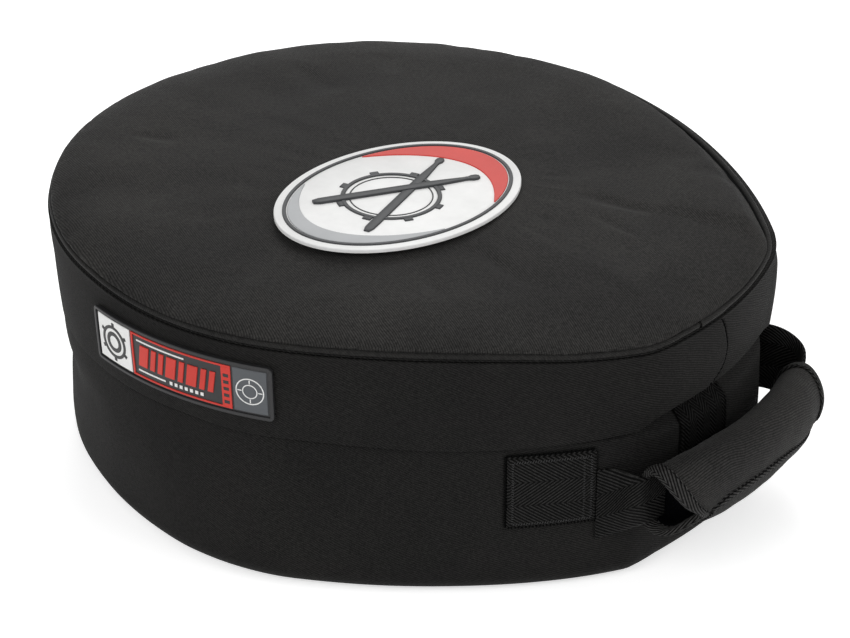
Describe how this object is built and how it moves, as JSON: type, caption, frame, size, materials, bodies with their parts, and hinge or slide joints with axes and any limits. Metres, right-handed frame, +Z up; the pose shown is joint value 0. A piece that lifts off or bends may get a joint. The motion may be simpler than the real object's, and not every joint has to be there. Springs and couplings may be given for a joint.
{
  "type": "padded drum bag",
  "caption": "Soft round padded bag for a snare drum, with a squared nose, a hinged zipped lid under a rain flap, and a padded carry grip on webbing.",
  "frame": {"origin": "centre of the round part, on the underside of the base", "axes": "+Z up, +X towards the squared nose with the hinge and the handle, -Y towards the side with the label"},
  "size_m": [0.4821, 0.4084, 0.1833],
  "materials": {
    "black_nylon": "matte fine twill cloth",
    "piping_nylon": "matte cloth over cord",
    "padding_foam": "soft padding",
    "lining_cloth": "soft brushed lining",
    "black_webbing": "herringbone webbing",
    "binding_tape": "herringbone tape",
    "zip_tape": "woven tape",
    "zip_coil": "coil teeth",
    "slider_metal": "dark coated metal",
    "white_rubber": "moulded rubber",
    "charcoal_rubber": "moulded rubber",
    "black_rubber": "moulded rubber",
    "printed_face": "printed face"
  },
  "bodies": {
    "case_body": {"side_wall": "black_nylon", "base_panel": "black_nylon", "base_foam": "padding_foam", "side_foam": "padding_foam", "side_lining": "lining_cloth", "base_lining": "lining_cloth", "lower_zip_tape": "zip_tape", "lower_zip_coil": "zip_coil", "zip_end_tab_left": "black_nylon", "zip_end_tab_right": "black_nylon", "hinge_strip_lower": "black_nylon", "handle_anchor_front": "black_webbing", "handle_anchor_back": "black_webbing", "handle_strap_front": "black_webbing", "handle_strap_back": "black_webbing", "nose_webbing_patch": "black_webbing"},
    "lid": {"lid_skirt": "black_nylon", "lid_piping": "piping_nylon", "lid_top_panel": "black_nylon", "lid_foam": "padding_foam", "lid_lining": "lining_cloth", "lid_zip_band": "black_nylon", "lid_skirt_foam": "padding_foam", "lid_skirt_lining": "lining_cloth", "upper_zip_tape": "zip_tape", "upper_zip_coil": "zip_coil", "hinge_strip_upper": "black_nylon", "badge_plate": "white_rubber", "badge_band": "charcoal_rubber", "label_backing": "black_rubber", "label_face": "printed_face"},
    "handle": {"grip_sleeve": "black_nylon", "grip_padding": "padding_foam", "handle_strap_core": "black_webbing", "grip_end_binding_front": "binding_tape", "grip_end_binding_back": "binding_tape", "grip_edge_binding": "binding_tape", "grip_closure_flap": "black_nylon"},
    "slider_left": {"zip_slider_left": "slider_metal"},
    "slider_right": {"zip_slider_right": "slider_metal"},
    "pull_left": {"zip_pull_left": "slider_metal"},
    "pull_right": {"zip_pull_right": "slider_metal"}
  },
  "joints": [
    {"name": "lid_hinge", "type": "hinge", "parent": "case_body", "child": "lid", "pos_m": [0.24409, 0, 0.1045], "axis": [0, 1, 0], "range_deg": [0, 95]},
    {"name": "handle_swing", "type": "hinge", "parent": "case_body", "child": "handle", "pos_m": [0.24409, 0, 0.045], "axis": [0, 1, 0], "range_deg": [0, 60]},
    {"name": "slider_left_run", "type": "hinge", "parent": "case_body", "child": "slider_left", "pos_m": [0, 0, 0.1115], "axis": [0, 0, -1], "range_deg": [0, 107]},
    {"name": "slider_right_run", "type": "hinge", "parent": "case_body", "child": "slider_right", "pos_m": [0, 0, 0.1115], "axis": [0, 0, 1], "range_deg": [0, 107]},
    {"name": "pull_left_turn", "type": "hinge", "parent": "slider_left", "child": "pull_left", "pos_m": [-0.1965, 0.00922, 0.1117], "axis": [0, 0, -1], "range_deg": [0, 6]},
    {"name": "pull_right_turn", "type": "hinge", "parent": "slider_right", "child": "pull_right", "pos_m": [-0.1965, -0.00922, 0.1117], "axis": [0, 0, 1], "range_deg": [0, 6]}
  ]
}
